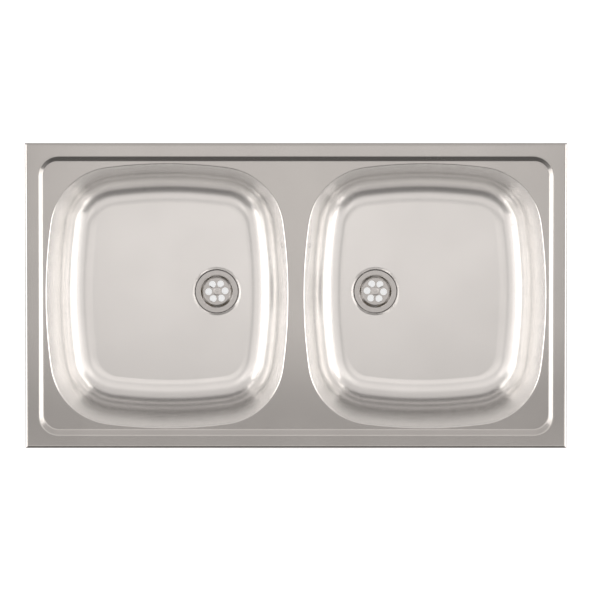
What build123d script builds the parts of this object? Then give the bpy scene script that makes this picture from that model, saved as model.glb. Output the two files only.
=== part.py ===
from build123d import *

# Double bowl kitchen sink, inset type, in millimetres. +X runs along the sink, +Y to the back and +Z up.
# The origin is the middle of the sink in plan, on the worktop that the rim rests on.

import os
from math import asin, atan2, cos, degrees, hypot, radians, sin, sqrt, tan

os.makedirs("parts", exist_ok=True)

# Pressed sheet -------------------------------------------------------------------------------------

SHEET = 0.8

# Bowl plan, measured to the line where the flat deck starts to round into the bowl
BOWL_LENGTH = 351.3
BOWL_WIDTH = 382.8
DIVIDER = 20.2
SIDE_ARC = 755.0
END_ARC = 665.0
CORNER_ARC = 95.0

# Bowl section
BOWL_DEPTH = 150.0
DRAFT = 7.0
LIP_RADIUS = 2.5
FLOOR_RADIUS = 45.0
WELD_DEPTH = 3.0

# Rim, and the step from it down to the well
RIM_HEIGHT = 6.0
STEP_DEPTH = 5.0
EDGE_RADIUS = 4.5
RIM_FLAT = 19.3
STEP_RUN = 7.2
STEP_BEND = 3.5
STEP_CORNER = 28.9
STEP_TO_LIP = 2.1

# Drain recess in the bowl's floor, its gap measured from where the floor rounds up to the divider
DRAIN_GAP = 10.81
RECESS_RADIUS = 36.0
RECESS_RUN = 4.5
RECESS_DEPTH = 3.0
RECESS_EDGE = 3.0
RECESS_BEND = 1.5

# Strainer dish, a pressed sheet with a flange
STRAINER_SHEET = 0.8
FLANGE_CLEARANCE = 0.3
DISH_RADIUS = 24.0
DISH_CLEARANCE = 2.0
DISH_DEPTH = 6.8
DISH_RUN = 4.0
DISH_BEND = 1.4
GRATE_HOLE_RADIUS = 5.0
GRATE_PITCH_RADIUS = 12.2
GRATE_HOLES = 6
GRATE_TURN_LEFT = 3.0
GRATE_TURN_RIGHT = -3.6
DIMPLE_DEPTH = 3.0
DIMPLE_GAP = 0.2

# Screw in the middle of the strainer, with a raised countersunk head
DRAIN_SCREW_RADIUS = 3.0
DRAIN_SCREW_HEAD = 6.0
DRAIN_SCREW_CROWN = 1.3
DRAIN_SCREW_SLOT = 1.2
DRAIN_SCREW_LENGTH = 21.0
DRAIN_SCREW_END_GAP = 1.0

# Seals, waste body and its threaded insert
FLANGE_SEAL = 1.0
SEAL_CLEARANCE = 1.0
FLANGE_SEAL_WIDTH = 4.0
WASTE_GASKET = 2.0
WASTE_GASKET_WIDTH = 4.6
WASTE_FLANGE_MARGIN = 3.0
WASTE_FLANGE = 3.5
CUP_CLEARANCE = 1.2
CUP_WALL = 2.8
CUP_DEPTH = 34.0
TAPER_DEPTH = 5.0
TAIL_RADIUS = 23.9
TAIL_BORE = 19.5
TAIL_LENGTH = 22.0
HUB_RADIUS = 6.0
HUB_GAP = 2.0
SPOKES = 3
SPOKE_THICKNESS = 2.0
SPOKE_HEIGHT = 7.0
INSERT_RADIUS = 4.5
INSERT_LENGTH = 14.0

# Overflow box between the bowls, its gaskets and screws
OVERFLOW_Y = 71.9
OVERFLOW_DROP = 33.0
OVERFLOW_HOLE_RADIUS = 2.75
OVERFLOW_PITCH = 11.3
OVERFLOW_BOX_WIDTH = 62.0
OVERFLOW_BOX_HEIGHT = 26.0
OVERFLOW_BOX_WALL = 3.5
OVERFLOW_GASKET = 1.5
OVERFLOW_BOSS_RADIUS = 5.5
OVERFLOW_WEB = 3.0
OVERFLOW_SCREW_RADIUS = 2.0
OVERFLOW_SCREW_HEAD = 4.2
OVERFLOW_SCREW_CROWN = 1.8
OVERFLOW_SCREW_SLOT = 1.0
OVERFLOW_SCREW_LENGTH = 13.0
OVERFLOW_SCREW_GAP = 0.05

# Overflow hose and the spigots that it is pushed on
HOSE_BORE = 8.0
HOSE_WALL = 2.0
HOSE_BEND = 85.0
HOSE_END_GAP = 1.0
SPIGOT_WALL = 1.8
SPIGOT_LENGTH = 18.0
INLET_DROP = 17.0
INLET_REACH = 24.0
CLAMP_WIDTH = 8.0
CLAMP_BAND = 0.8
CLAMP_BLOCK = 6.0
CLAMP_SETBACK = 8.0

# Under the deck and the floors
SEAL_INSET = 4.8
SEAL_WIDTH = 4.0
SEAL_CORNER = 3.0
DAMPING_GAP = 17.4
DAMPING_END_MARGIN = 12.0
DAMPING_SIDE_MARGIN = 31.0
DAMPING_THICKNESS = 2.0
DAMPING_CORNER = 15.0

# Mounting clip: a folded claw that swings on a pin, in a bracket welded under the rim
CLIP_MARGIN = 40.0
PIN_RADIUS = 1.5
PIN_INSET = 14.4
PIN_DROP = 3.0
PIN_HEAD_RADIUS = 2.3
PIN_HEAD = 0.8
CLAW_SHEET = 2.0
CLAW_WIDTH = 16.0
CLAW_HEIGHT = 56.0
CLAW_FOLD = 2.0
CLAW_TIP_INSET = 0.6
CLAW_COLLAR_RADIUS = 4.8
CLAW_COLLAR = 2.5
BRACKET_SHEET = 1.2
BRACKET_MARGIN = 3.4
EAR_DROP = 3.2

# Screw and pad of a mounting clip
RUNNING_GAP = 0.05
SIDE_GAP = 0.4
CLIP_OPENING = 44.0
CLIP_SCREW_INSET = 5.5
CLIP_SCREW_RADIUS = 3.0
CLIP_SCREW_LENGTH = 39.0
CLIP_SCREW_HEAD_RADIUS = 4.8
CLIP_SCREW_HEAD = 3.6
CLIP_SCREW_SLOT = 1.4
CLIP_SCREW_SLOT_DEPTH = 1.6
PAD_RADIUS = 4.9
PAD_HEIGHT = 5.0
PAD_SOCKET = 2.6
PAD_EDGE = 0.6
TIP_GAP = 0.1

# Worked out from the sizes above -------------------------------------------------------------------

LEFT, RIGHT = "left", "right"
BOWL_MARGIN = RIM_FLAT + STEP_RUN + STEP_TO_LIP
LENGTH = 2 * (BOWL_MARGIN + BOWL_LENGTH) + DIVIDER
WIDTH = BOWL_WIDTH + 2 * BOWL_MARGIN
BOWL_X = (DIVIDER + BOWL_LENGTH) / 2
WELL_Z = RIM_HEIGHT - STEP_DEPTH
WELD_Z = WELL_Z - WELD_DEPTH
FLOOR_Z = WELL_Z - BOWL_DEPTH
LIP_RUN = LIP_RADIUS * tan(radians((90 - DRAFT) / 2))
FLOOR_INSET = LIP_RUN + BOWL_DEPTH * tan(radians(DRAFT)) + FLOOR_RADIUS * tan(radians((90 - DRAFT) / 2))
DRAIN_OFFSET = BOWL_LENGTH / 2 - FLOOR_INSET - DRAIN_GAP - RECESS_RADIUS
DRAIN_X = BOWL_X - DRAIN_OFFSET
STEP_ANGLE = atan2(STEP_DEPTH, STEP_RUN)
RECESS_ANGLE = atan2(RECESS_DEPTH, RECESS_RUN)
RECESS_Z = FLOOR_Z - RECESS_DEPTH
FLANGE_RADIUS = RECESS_RADIUS - RECESS_RUN - FLANGE_CLEARANCE
OUTLET_RADIUS = DISH_RADIUS + DISH_CLEARANCE
WASTE_FLANGE_RADIUS = RECESS_RADIUS - WASTE_FLANGE_MARGIN
CUP_BORE = DISH_RADIUS + CUP_CLEARANCE
STRAINER_Z = RECESS_Z + FLANGE_SEAL + STRAINER_SHEET
DISC_Z = STRAINER_Z - DISH_DEPTH
DRAIN_HEAD_Z = DISC_Z - DIMPLE_GAP
DRAIN_TIP_Z = DRAIN_HEAD_Z - DRAIN_SCREW_LENGTH
WASTE_Z = RECESS_Z - SHEET - WASTE_GASKET
CUP_Z = WASTE_Z - CUP_DEPTH
TAIL_Z = CUP_Z - TAPER_DEPTH
HUB_Z = DISC_Z - DIMPLE_DEPTH - STRAINER_SHEET - HUB_GAP
INLET_Z = WASTE_Z - INLET_DROP
CUP_RADIUS = CUP_BORE + CUP_WALL
INLET_TURN = degrees(atan2(OVERFLOW_Y, DRAIN_X))
HOSE_RADIUS = HOSE_BORE + HOSE_WALL
BOX_BOTTOM_Z = WELL_Z - OVERFLOW_DROP - OVERFLOW_BOX_HEIGHT / 2
HOSE_TOP_Z = BOX_BOTTOM_Z - HOSE_END_GAP
HOSE_SEAT = CUP_RADIUS + INLET_REACH - SPIGOT_LENGTH
RIM_UNDER_Z = RIM_HEIGHT - SHEET
EYE_BORE = PIN_RADIUS + RUNNING_GAP
EYE_RADIUS = EYE_BORE + CLAW_SHEET
EAR_Y = CLAW_WIDTH / 2 + SIDE_GAP
PIN_REACH = EAR_Y + BRACKET_SHEET
SCREW_TIP_Z = -CLIP_OPENING - PAD_HEIGHT + PAD_SOCKET - TIP_GAP
SCREW_HEAD_Z = SCREW_TIP_Z - CLIP_SCREW_LENGTH

UP = (Align.CENTER, Align.CENTER, Align.MIN)
DOWN = (Align.CENTER, Align.CENTER, Align.MAX)
TOUCH = 1e-3


def disc(radius, bottom, top):
    """A cylinder on the Z axis between two heights."""
    return Pos(0, 0, bottom) * Cylinder(radius, top - bottom, align=UP)


def ring(outer, inner, bottom, top):
    """A ring round the Z axis between two heights."""
    return disc(outer, bottom, top) - disc(inner, bottom, top)


def rounded_slab(length, width, corner, bottom, top):
    """A slab with rounded corners in plan."""
    plan = Plane.XY.offset(bottom) * RectangleRounded(length, width, corner)
    return extrude(plan, amount=top - bottom)


def edges_at(shape, height):
    """The edges that lie level at one height."""
    level = []
    for edge in shape.edges():
        box = edge.bounding_box()
        if abs(box.min.Z - height) < TOUCH and abs(box.max.Z - height) < TOUCH:
            level.append(edge)
    return ShapeList(level)


def edges_on(shape, line):
    """The edges that lie along a wire or another edge."""
    return [edge for edge in shape.edges() if line.distance_to(edge @ 0.5) < TOUCH
            and line.distance_to(edge @ 0.2) < TOUCH]


def on_side(side, shape):
    """A shape drawn for the left half of the sink, mirrored where it is wanted on the right."""
    return shape if side == LEFT else mirror(shape, about=Plane.YZ)


def at_drain(side, shape):
    """A shape drawn round the Z axis, put at a drain."""
    return Pos(-DRAIN_X if side == LEFT else DRAIN_X, 0, 0) * shape


# Bowls ---------------------------------------------------------------------------------------------

def bowl_inset(height):
    """How far the bowl's inner wall stands inside its lip line at a height."""
    return LIP_RUN + (WELL_Z - height) * tan(radians(DRAFT))


def bowl_outline(height, grow):
    """A bowl's plan at a height, grown outwards: four shallow arcs joined by four corner arcs."""
    shift = grow / cos(radians(DRAFT)) - bowl_inset(height)
    half_x = BOWL_LENGTH / 2 + shift
    half_y = BOWL_WIDTH / 2 + shift
    corner = CORNER_ARC + shift
    side_x = BOWL_LENGTH / 2 - SIDE_ARC
    end_y = BOWL_WIDTH / 2 - END_ARC
    # The corner arc's centre lies where two circles round the shallow arcs' centres cross
    side_reach = SIDE_ARC - CORNER_ARC
    end_reach = END_ARC - CORNER_ARC
    apart = hypot(side_x, end_y)
    along = (side_reach ** 2 - end_reach ** 2 + apart ** 2) / (2 * apart)
    across = sqrt(side_reach ** 2 - along ** 2)
    corner_x = side_x - (along * side_x + across * end_y) / apart
    corner_y = (along * end_y - across * side_x) / apart
    side_turn = atan2(corner_y, corner_x - side_x)
    end_turn = atan2(corner_y - end_y, corner_x)
    turns = [side_turn, (side_turn + end_turn) / 2, end_turn]
    corner_spots = [(corner_x + corner * cos(turn), corner_y + corner * sin(turn)) for turn in turns]
    corners = []
    for way_x, way_y in ((1, 1), (-1, 1), (-1, -1), (1, -1)):
        spots = [Vector(x * way_x, y * way_y, height) for x, y in corner_spots]
        corners.append(spots if way_x == way_y else spots[::-1])
    middles = [Vector(0, half_y, height), Vector(-half_x, 0, height),
               Vector(0, -half_y, height), Vector(half_x, 0, height)]
    arcs = []
    for index, spots in enumerate(corners):
        following = corners[(index + 1) % len(corners)]
        arcs.append(ThreePointArc(*spots))
        arcs.append(ThreePointArc(spots[-1], middles[index], following[0]))
    return Wire(arcs)


def bowl_space(grow):
    """The left bowl's inner space below the weld line, grown outwards, with its drain recess."""
    floor = FLOOR_Z - grow
    space = Solid.make_loft([bowl_outline(WELD_Z, grow), bowl_outline(floor, grow)], ruled=True)
    space = fillet(edges_at(space, floor), FLOOR_RADIUS + grow)
    radius = RECESS_RADIUS + grow * tan(RECESS_ANGLE / 2)
    middle = Pos(DRAIN_OFFSET, 0, floor)
    space += middle * Cone(radius - RECESS_RUN, radius, RECESS_DEPTH, align=DOWN)
    space = fillet(edges_on(space, middle * Edge.make_circle(radius)), RECESS_EDGE - grow)
    space = fillet(edges_at(space, floor - RECESS_DEPTH), RECESS_BEND + grow)
    return Pos(-BOWL_X, 0, 0) * space


def overflow_plane():
    """The spot on the left bowl's inner wall where the overflow's screw goes, its Z pointing out."""
    height = WELL_Z - OVERFLOW_DROP
    reach = SIDE_ARC - bowl_inset(height)
    turn = asin(OVERFLOW_Y / reach)
    draft = radians(DRAFT)
    spot = Vector(-DIVIDER / 2 - SIDE_ARC + reach * cos(turn), OVERFLOW_Y, height)
    outwards = Vector(cos(turn) * cos(draft), sin(turn) * cos(draft), -sin(draft))
    return Plane(spot, x_dir=Vector(-sin(turn), cos(turn), 0), z_dir=outwards)


def make_bowl():
    """The left bowl: a drawn sheet with its outlet, its overflow holes and the overflow screw's hole."""
    bowl = bowl_space(SHEET) - bowl_space(0)
    bowl -= Pos(-DRAIN_X, 0, RECESS_Z) * Cylinder(OUTLET_RADIUS, 4 * SHEET)
    wall = overflow_plane()
    bowl -= wall * Cylinder(OVERFLOW_SCREW_RADIUS, 4 * SHEET)
    for step in (-2, -1, 1, 2):
        bowl -= wall * Pos(step * OVERFLOW_PITCH, 0, 0) * Cylinder(OVERFLOW_HOLE_RADIUS, 4 * SHEET)
    return bowl


# Deck ----------------------------------------------------------------------------------------------

def well_plan(inset, height):
    """The plan of the sunk well at an inset from the sink's outer edge."""
    corner = RIM_FLAT + STEP_CORNER - inset
    return Plane.XY.offset(height) * RectangleRounded(LENGTH - 2 * inset, WIDTH - 2 * inset, corner)


def deck_ground(sunk):
    """All that lies under the deck's surface down to the weld line, that surface sunk into the sheet."""
    top = RIM_HEIGHT - sunk
    well = WELL_Z - sunk
    mitre = sunk * tan(STEP_ANGLE / 2)
    ground = Pos(0, 0, WELD_Z) * Box(LENGTH - 2 * sunk, WIDTH - 2 * sunk, top - WELD_Z, align=UP)
    ground = fillet(edges_at(ground, top), EDGE_RADIUS - sunk)
    upper = well_plan(RIM_FLAT - mitre, top)
    lower = well_plan(RIM_FLAT + STEP_RUN - mitre, well)
    ground -= loft([lower, upper], ruled=True)
    ground = fillet(edges_on(ground, lower.wire()), STEP_BEND + sunk)
    ground = fillet(edges_on(ground, upper.wire()), STEP_BEND - sunk)
    for bowl_x in (-BOWL_X, BOWL_X):
        throat = Pos(bowl_x, 0, 0) * bowl_outline(WELD_Z, sunk)
        mouth = Pos(bowl_x, 0, 0) * bowl_outline(well, sunk)
        ground -= Solid.make_loft([throat, mouth], ruled=True)
        ground = fillet(edges_on(ground, mouth), LIP_RADIUS - sunk)
    return ground


def make_deck():
    """The pressed deck: rim, step, well and the two drawn collars that the bowls are welded to."""
    deck = deck_ground(0) - deck_ground(SHEET)
    outside = Box(LENGTH, WIDTH, -WELD_Z, align=DOWN)
    inside = Box(LENGTH - 2 * RIM_FLAT, WIDTH - 2 * RIM_FLAT, -WELD_Z, align=DOWN)
    return deck - (outside - inside)


# Strainer and waste, drawn round the Z axis --------------------------------------------------------

def make_strainer(turn):
    """The strainer dish: flange, sloped wall, holed disc and the dimple that takes the screw's head."""
    dimple = DRAIN_SCREW_HEAD + DIMPLE_GAP
    surface = FilletPolyline(
        (FLANGE_RADIUS, STRAINER_Z), (DISH_RADIUS, STRAINER_Z), (DISH_RADIUS - DISH_RUN, DISC_Z),
        (dimple, DISC_Z), (dimple - DIMPLE_DEPTH, DISC_Z - DIMPLE_DEPTH),
        radius=[DISH_BEND + STRAINER_SHEET, DISH_BEND, STRAINER_SHEET + DIMPLE_GAP])
    section = make_face(offset(surface, STRAINER_SHEET, kind=Kind.INTERSECTION, side=Side.LEFT))
    dish = revolve(Plane.XZ * section, Axis.Z)
    hole = Cylinder(GRATE_HOLE_RADIUS, 4 * STRAINER_SHEET)
    for index in range(GRATE_HOLES):
        dish -= Rot(0, 0, turn + index * 360 / GRATE_HOLES) * Pos(GRATE_PITCH_RADIUS, 0, DISC_Z) * hole
    return dish


def crowned_head(radius, crown):
    """A low dome that stands on the XY plane."""
    dome = (radius ** 2 + crown ** 2) / (2 * crown)
    return Pos(0, 0, crown - dome) * Sphere(dome) & disc(radius, 0, crown)


def make_drain_screw():
    """The screw that pulls the strainer down, with a raised countersunk head and a plain slot."""
    cone_depth = DRAIN_SCREW_HEAD - DRAIN_SCREW_RADIUS
    screw = Pos(0, 0, DRAIN_HEAD_Z) * Cone(DRAIN_SCREW_RADIUS, DRAIN_SCREW_HEAD, cone_depth, align=DOWN)
    screw += disc(DRAIN_SCREW_RADIUS, DRAIN_TIP_Z, DRAIN_HEAD_Z - cone_depth)
    screw += Pos(0, 0, DRAIN_HEAD_Z) * crowned_head(DRAIN_SCREW_HEAD, DRAIN_SCREW_CROWN)
    slot = Box(2 * DRAIN_SCREW_HEAD, DRAIN_SCREW_SLOT, 2 * DRAIN_SCREW_CROWN)
    return screw - Pos(0, 0, DRAIN_HEAD_Z + DRAIN_SCREW_CROWN) * slot


def make_flange_seal():
    """The thin ring between the recess and the strainer's flange."""
    inner = OUTLET_RADIUS + SEAL_CLEARANCE
    return ring(inner + FLANGE_SEAL_WIDTH, inner, RECESS_Z, RECESS_Z + FLANGE_SEAL)


def make_waste_gasket():
    """The thick ring between the bowl's recess and the waste body's flange."""
    inner = OUTLET_RADIUS + SEAL_CLEARANCE
    return ring(inner + WASTE_GASKET_WIDTH, inner, WASTE_Z, WASTE_Z + WASTE_GASKET)


def make_insert():
    """The brass bush that the strainer's screw is threaded into."""
    return ring(INSERT_RADIUS, DRAIN_SCREW_RADIUS, HUB_Z - INSERT_LENGTH, HUB_Z)


def make_waste_body(turn):
    """The moulded waste: flange, cup, taper and male tail, with a hub on spokes between the grate holes."""
    tail_end = TAIL_Z - TAIL_LENGTH
    section = make_face(Polyline(
        (CUP_BORE, WASTE_Z), (WASTE_FLANGE_RADIUS, WASTE_Z),
        (WASTE_FLANGE_RADIUS, WASTE_Z - WASTE_FLANGE), (CUP_RADIUS, WASTE_Z - WASTE_FLANGE),
        (CUP_RADIUS, CUP_Z), (TAIL_RADIUS, TAIL_Z), (TAIL_RADIUS, tail_end),
        (TAIL_BORE, tail_end), (TAIL_BORE, TAIL_Z), (CUP_BORE, CUP_Z), close=True))
    body = revolve(Plane.XZ * section, Axis.Z)
    body += disc(HUB_RADIUS, CUP_Z, HUB_Z)
    spoke = Pos(0, 0, CUP_Z) * Box(CUP_BORE + CUP_WALL / 2, SPOKE_THICKNESS, SPOKE_HEIGHT,
                                   align=(Align.MIN, Align.CENTER, Align.MIN))
    half_hole = 180 / GRATE_HOLES
    for index in range(SPOKES):
        body += Rot(0, 0, turn + half_hole + index * 360 / SPOKES) * spoke
    body -= disc(INSERT_RADIUS, HUB_Z - INSERT_LENGTH, HUB_Z)
    body -= disc(DRAIN_SCREW_RADIUS, DRAIN_TIP_Z - DRAIN_SCREW_END_GAP, HUB_Z)
    return body


def inlet_plane(reach):
    """A plane across the overflow inlet at a distance from the left drain's axis, its Z pointing out."""
    turn = radians(INLET_TURN)
    outwards = Vector(cos(turn), sin(turn), 0)
    return Plane(Vector(-DRAIN_X, 0, INLET_Z) + outwards * reach, z_dir=outwards)


def add_inlet(body):
    """Adds the overflow inlet's spigot to the left waste body, which is already at its drain."""
    start = inlet_plane(CUP_BORE + CUP_WALL / 2)
    reach = INLET_REACH + CUP_WALL / 2
    body += start * Cylinder(HOSE_BORE, reach, align=UP)
    bore_start = inlet_plane(CUP_BORE - CUP_WALL)
    return body - bore_start * Cylinder(HOSE_BORE - SPIGOT_WALL, reach + 2 * CUP_WALL, align=UP)


# Overflow ------------------------------------------------------------------------------------------

def overflow_block(width, height):
    """A block that crosses the gap between the bowls at the overflow holes."""
    return Pos(0, OVERFLOW_Y, WELL_Z - OVERFLOW_DROP) * Box(BOWL_LENGTH / 2, width, height)


def overflow_windows():
    """The two spaces, one each side of the screw's boss, that the overflow water passes through."""
    height = OVERFLOW_BOX_HEIGHT - 2 * OVERFLOW_BOX_WALL
    hollow = overflow_block(OVERFLOW_BOX_WIDTH - 2 * OVERFLOW_BOX_WALL, height)
    return hollow - overflow_block(2 * OVERFLOW_BOSS_RADIUS, height)


def make_overflow_screw():
    """The left overflow screw, with its domed and slotted head inside the bowl."""
    wall = overflow_plane()
    head = crowned_head(OVERFLOW_SCREW_HEAD, OVERFLOW_SCREW_CROWN)
    head -= Pos(0, 0, OVERFLOW_SCREW_CROWN) * Box(
        OVERFLOW_SCREW_SLOT, 2 * OVERFLOW_SCREW_HEAD, OVERFLOW_SCREW_CROWN)
    shank = Pos(0, 0, -OVERFLOW_SCREW_LENGTH) * Cylinder(
        OVERFLOW_SCREW_RADIUS, OVERFLOW_SCREW_LENGTH, align=UP)
    return wall * Pos(0, 0, -OVERFLOW_SCREW_GAP) * Rot(180, 0, 0) * (head + shank)


def make_overflow_box(spaces, screws):
    """The hollow box between the bowls, shaped to both walls, with a boss for both screws."""
    height = OVERFLOW_BOX_HEIGHT - 2 * OVERFLOW_BOX_WALL
    box = overflow_block(OVERFLOW_BOX_WIDTH, OVERFLOW_BOX_HEIGHT)
    box -= overflow_block(OVERFLOW_BOX_WIDTH - 2 * OVERFLOW_BOX_WALL, height)
    boss = Cylinder(OVERFLOW_BOSS_RADIUS, BOWL_LENGTH / 2, rotation=(0, 90, 0))
    box += Pos(0, OVERFLOW_Y, WELL_Z - OVERFLOW_DROP) * boss
    box += overflow_block(OVERFLOW_WEB, height)
    for side in (LEFT, RIGHT):
        box -= on_side(side, spaces[SHEET + OVERFLOW_GASKET])
    middle = Pos(0, OVERFLOW_Y, 0)
    box += middle * disc(HOSE_BORE, BOX_BOTTOM_Z - SPIGOT_LENGTH, BOX_BOTTOM_Z)
    bore_top = BOX_BOTTOM_Z + OVERFLOW_BOX_WALL
    box -= middle * disc(HOSE_BORE - SPIGOT_WALL, BOX_BOTTOM_Z - SPIGOT_LENGTH, bore_top)
    return box - screws


def make_overflow_gasket(spaces, screw):
    """The left gasket between the bowl's wall and the overflow box, with two windows."""
    between = spaces[SHEET + OVERFLOW_GASKET] - spaces[SHEET]
    plate = overflow_block(OVERFLOW_BOX_WIDTH, OVERFLOW_BOX_HEIGHT) - overflow_windows()
    return (between & plate) - screw


def hose_route():
    """The hose's middle line: down between the bowls, then under the left one to the waste's inlet."""
    return FilletPolyline((0, OVERFLOW_Y, HOSE_TOP_Z), (0, OVERFLOW_Y, INLET_Z),
                          inlet_plane(HOSE_SEAT).origin, radius=HOSE_BEND)


def make_overflow_hose():
    """The overflow hose, swept along its route with its bore open."""
    route = hose_route()
    mouth = Plane(route @ 0, z_dir=route % 0)
    return sweep(mouth * (Circle(HOSE_RADIUS) - Circle(HOSE_BORE)), path=route)


def make_hose_clamp():
    """A band round the hose with the block that holds its tightening screw, round the Z axis."""
    band = Cylinder(HOSE_RADIUS + CLAMP_BAND, CLAMP_WIDTH)
    block = Pos(HOSE_RADIUS + CLAMP_BLOCK / 2, 0, 0) * Box(CLAMP_BLOCK, CLAMP_BLOCK, CLAMP_WIDTH)
    return band + block - Cylinder(HOSE_RADIUS, CLAMP_WIDTH)


def hose_clamps():
    """The two clamps, one at each end of the hose."""
    top = Plane(Vector(0, OVERFLOW_Y, HOSE_TOP_Z - CLAMP_SETBACK), x_dir=(0, 1, 0))
    clamp = make_hose_clamp()
    return [top * clamp, inlet_plane(HOSE_SEAT + CLAMP_SETBACK) * clamp]


# Seal and pads under the sheet ---------------------------------------------------------------------

def make_rim_seal():
    """The foam strip between the rim and the worktop."""
    inner = SEAL_INSET + SEAL_WIDTH
    outside = rounded_slab(LENGTH - 2 * SEAL_INSET, WIDTH - 2 * SEAL_INSET, SEAL_CORNER + SEAL_WIDTH,
                           0, RIM_UNDER_Z)
    return outside - rounded_slab(LENGTH - 2 * inner, WIDTH - 2 * inner, SEAL_CORNER, 0, RIM_UNDER_Z)


def make_damping_pad():
    """The left sound-damping pad, stuck under the bowl's floor beside the drain."""
    under = FLOOR_Z - SHEET
    start = DAMPING_END_MARGIN + FLOOR_INSET - BOWL_LENGTH / 2
    end = DRAIN_OFFSET - RECESS_RADIUS - DAMPING_GAP
    width = BOWL_WIDTH - 2 * (FLOOR_INSET + DAMPING_SIDE_MARGIN)
    pad = rounded_slab(end - start, width, DAMPING_CORNER, under - DAMPING_THICKNESS, under)
    return Pos((start + end) / 2 - BOWL_X, 0, 0) * pad


# Mounting clips, drawn at the left edge: X runs into the sink from the rim's outer edge ------------

def clip_places():
    """Where the clips are: three along the back, three along the front and one at each end."""
    places = {}
    spread = LENGTH / 2 - CLIP_MARGIN
    for name, x in ((LEFT, -spread), ("middle", 0), (RIGHT, spread)):
        places["front_" + name] = Pos(x, -WIDTH / 2, 0) * Rot(0, 0, 90)
        places["back_" + name] = Pos(x, WIDTH / 2, 0) * Rot(0, 0, -90)
    places["end_left"] = Pos(-LENGTH / 2, 0, 0)
    places["end_right"] = Pos(LENGTH / 2, 0, 0) * Rot(0, 0, 180)
    return places


def make_clip_bracket():
    """The bracket welded under the rim: a base plate and two ears that hold the clip's pin."""
    width = 2 * BRACKET_MARGIN
    base = Pos(PIN_INSET, 0, RIM_UNDER_Z) * Box(width, 2 * PIN_REACH, BRACKET_SHEET, align=DOWN)
    depth = RIM_UNDER_Z + PIN_DROP + EAR_DROP
    ear = Box(width, BRACKET_SHEET, depth, align=(Align.CENTER, Align.MIN, Align.MAX))
    ear = fillet(edges_at(ear, -depth).filter_by(Axis.Y), EAR_DROP - BRACKET_SHEET)
    ear = Pos(PIN_INSET, EAR_Y, RIM_UNDER_Z) * ear
    pin_hole = Pos(PIN_INSET, 0, -PIN_DROP) * Cylinder(PIN_RADIUS, 2 * PIN_REACH, rotation=(90, 0, 0))
    return base + ear + mirror(ear, about=Plane.XZ) - pin_hole


def make_clip_pin():
    """The hinge pin, riveted over outside both ears."""
    pin = Cylinder(PIN_RADIUS, 2 * PIN_REACH)
    for end in (-1, 1):
        pin += Pos(0, 0, end * (PIN_REACH + PIN_HEAD / 2)) * Cylinder(PIN_HEAD_RADIUS, PIN_HEAD)
    return Pos(PIN_INSET, 0, -PIN_DROP) * Rot(90, 0, 0) * pin


def make_clip_claw():
    """The claw: an eye round the pin, a leg, and a foot with the threaded collar for the screw."""
    leg_x = PIN_INSET + EYE_BORE
    foot_z = CLAW_SHEET - CLAW_HEIGHT
    inside = FilletPolyline((leg_x, -PIN_DROP), (leg_x, foot_z), (CLAW_TIP_INSET, foot_z),
                            radius=CLAW_FOLD)
    section = make_face(offset(inside, CLAW_SHEET, kind=Kind.INTERSECTION, side=Side.LEFT))
    strip = extrude(Plane.XZ * section, amount=CLAW_WIDTH / 2, both=True)
    eye = Pos(PIN_INSET, 0, -PIN_DROP) * Rot(90, 0, 0)
    claw = strip + eye * Cylinder(EYE_RADIUS, CLAW_WIDTH) - eye * Cylinder(EYE_BORE, CLAW_WIDTH)
    screw_axis = Pos(CLIP_SCREW_INSET, 0, 0)
    claw += screw_axis * disc(CLAW_COLLAR_RADIUS, -CLAW_HEIGHT - CLAW_COLLAR, -CLAW_HEIGHT)
    return claw - screw_axis * disc(CLIP_SCREW_RADIUS + RUNNING_GAP, -CLAW_HEIGHT - CLAW_COLLAR, foot_z)


def make_clip_screw():
    """The screw that lifts the pad, turned from below by the slot in its head."""
    screw = disc(CLIP_SCREW_RADIUS, SCREW_HEAD_Z, SCREW_TIP_Z)
    screw += disc(CLIP_SCREW_HEAD_RADIUS, SCREW_HEAD_Z - CLIP_SCREW_HEAD, SCREW_HEAD_Z)
    slot = Box(2 * CLIP_SCREW_HEAD_RADIUS, CLIP_SCREW_SLOT, CLIP_SCREW_SLOT_DEPTH, align=UP)
    screw -= Pos(0, 0, SCREW_HEAD_Z - CLIP_SCREW_HEAD) * slot
    return Pos(CLIP_SCREW_INSET, 0, 0) * screw


def make_clip_pad():
    """The pad that presses on the worktop's underside, with a socket for the screw's tip."""
    bottom = -CLIP_OPENING - PAD_HEIGHT
    pad = chamfer(disc(PAD_RADIUS, bottom, -CLIP_OPENING).edges().filter_by(GeomType.CIRCLE), PAD_EDGE)
    pad -= disc(CLIP_SCREW_RADIUS + RUNNING_GAP, bottom, bottom + PAD_SOCKET)
    return Pos(CLIP_SCREW_INSET, 0, 0) * pad


# All sub-parts -------------------------------------------------------------------------------------

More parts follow.
